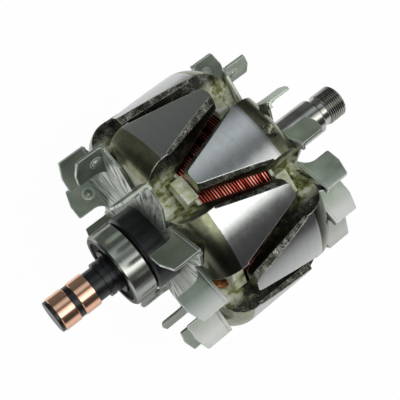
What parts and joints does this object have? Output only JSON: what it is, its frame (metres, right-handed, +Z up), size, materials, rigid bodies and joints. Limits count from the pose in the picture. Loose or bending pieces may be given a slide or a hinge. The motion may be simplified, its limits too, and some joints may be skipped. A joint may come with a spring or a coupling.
{
  "type": "generator rotor",
  "caption": "Claw-pole generator rotor with interlocking steel pole fingers round a copper field winding, bent-blade cooling fans, a ball bearing and slip rings on one shaft.",
  "frame": {"origin": "on the shaft axis, at the shoulder that the pulley-side bearing seats against", "axes": "+X along the shaft towards the pulley thread, +Z up as the rotor lies at rest on two claws"},
  "size_m": [0.1605, 0.1044, 0.1044],
  "materials": {
    "shaft": "turned and ground steel",
    "rear_pole_piece": "forged steel, turned outside, thin varnish",
    "front_pole_piece": "forged steel, turned outside, thin varnish",
    "coil_bobbin": "pale moulded nylon",
    "field_coil": "enamelled copper wire, varnished",
    "coil_lead_start": "enamelled copper wire",
    "coil_lead_finish": "enamelled copper wire",
    "rear_fan": "stamped and zinc plated sheet",
    "front_fan": "stamped and zinc plated sheet",
    "slip_ring_outer": "turned copper",
    "slip_ring_inner": "turned copper",
    "slip_ring_moulding": "black thermoset moulding",
    "lead_insulator": "black thermoset moulding",
    "bearing_outer_ring": "ground and polished bearing steel",
    "bearing_inner_ring": "ground bearing steel",
    "bearing_shield_rear": "pressed steel sheet",
    "bearing_shield_front": "pressed steel sheet",
    "bearing_cage": "machined brass",
    "bearing_balls": "polished steel",
    "conductor_outer": "copper strip",
    "conductor_inner": "copper strip"
  },
  "bodies": {
    "rotor": {"shaft": "shaft", "rear_pole_piece": "rear_pole_piece", "front_pole_piece": "front_pole_piece", "coil_bobbin": "coil_bobbin", "field_coil": "field_coil", "coil_lead_start": "coil_lead_start", "coil_lead_finish": "coil_lead_finish", "rear_fan": "rear_fan", "front_fan": "front_fan", "slip_ring_outer": "slip_ring_outer", "slip_ring_inner": "slip_ring_inner", "slip_ring_moulding": "slip_ring_moulding", "lead_insulator": "lead_insulator", "bearing_inner_ring": "bearing_inner_ring", "conductor_outer": "conductor_outer", "conductor_inner": "conductor_inner"},
    "bearing_outer": {"bearing_outer_ring": "bearing_outer_ring", "bearing_shield_rear": "bearing_shield_rear", "bearing_shield_front": "bearing_shield_front"},
    "bearing_cage_and_balls": {"bearing_cage": "bearing_cage", "bearing_balls": "bearing_balls"}
  },
  "joints": [
    {"name": "bearing_spin", "type": "hinge", "parent": "rotor", "child": "bearing_outer", "pos_m": [-0.0922, 0, 0], "axis": [1, 0, 0], "continuous": true},
    {"name": "cage_spin", "type": "hinge", "parent": "rotor", "child": "bearing_cage_and_balls", "pos_m": [-0.0922, 0, 0], "axis": [1, 0, 0], "continuous": true}
  ],
  "couplings": [
    {"joint": "cage_spin", "follows": "bearing_spin", "ratio": 0.619}
  ]
}
